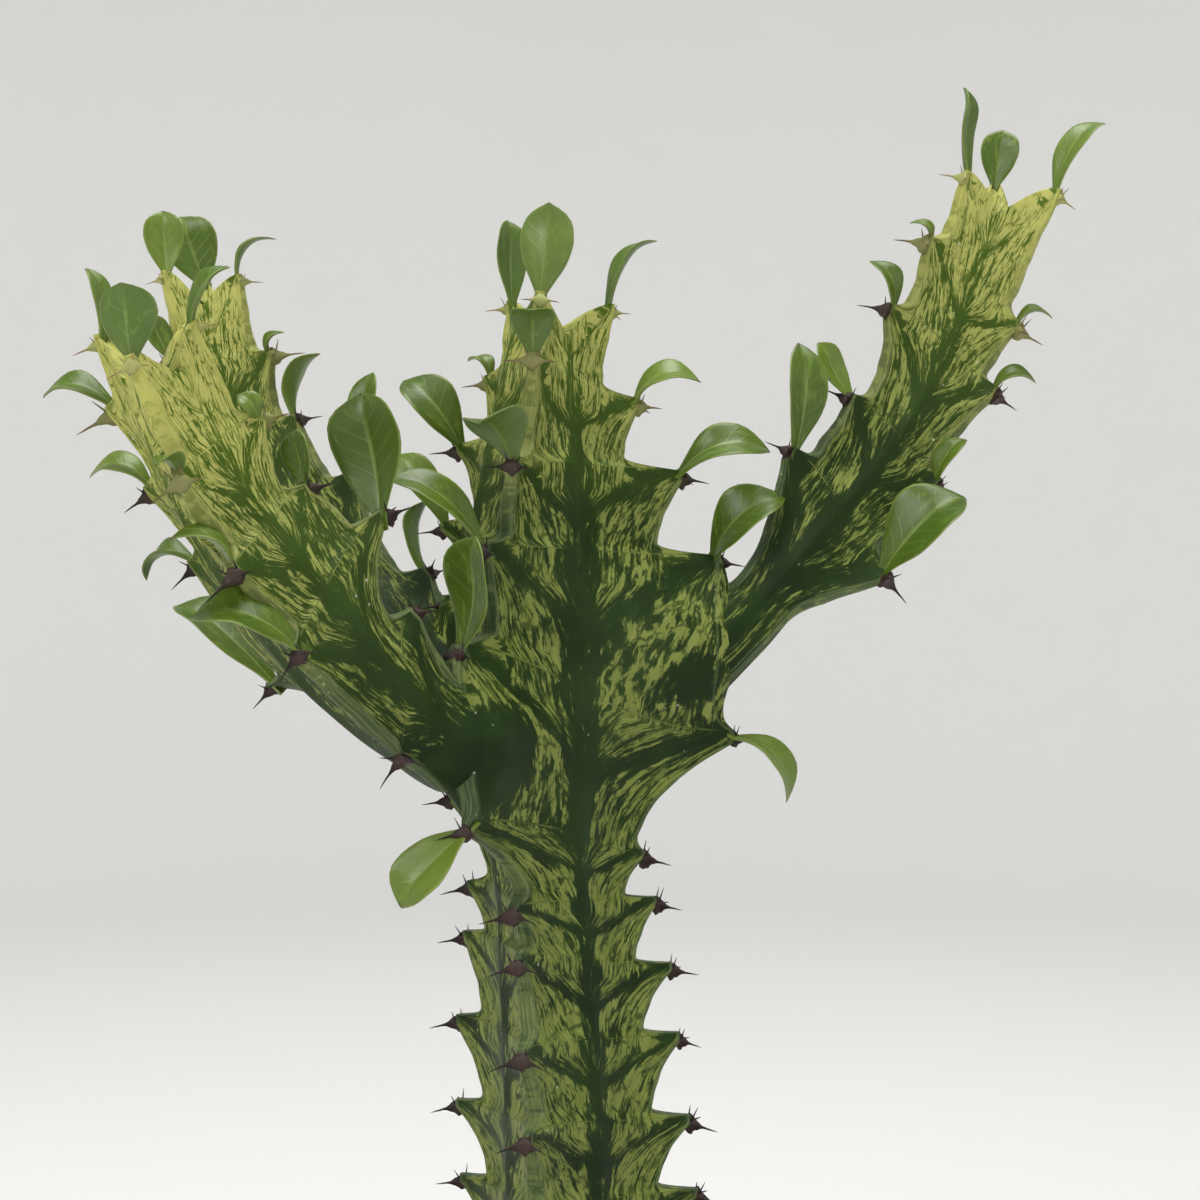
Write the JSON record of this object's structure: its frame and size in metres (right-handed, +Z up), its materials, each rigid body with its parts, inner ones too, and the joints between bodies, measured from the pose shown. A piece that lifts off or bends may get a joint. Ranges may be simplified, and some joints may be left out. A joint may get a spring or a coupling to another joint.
{
  "type": "potted african milk tree",
  "caption": "Variegated three-ribbed succulent with toothed ribs, paired spines, small fleshy leaves and side stems, rooted in a tapered clay pot.",
  "frame": {"origin": "centre of the pot's flat underside", "axes": "+Z up along the trunk; +X to the right and -Y towards the viewer in the front view"},
  "size_m": [0.2222, 0.1535, 0.421],
  "materials": {
    "clay": "matte",
    "soil": "matte",
    "stem": "satin"
  },
  "bodies": {
    "root": {"pot": "clay", "soil": "soil", "main_stem": "stem", "right_branch": "stem", "front_left_branch": "stem", "back_left_branch": "stem"}
  },
  "joints": []
}
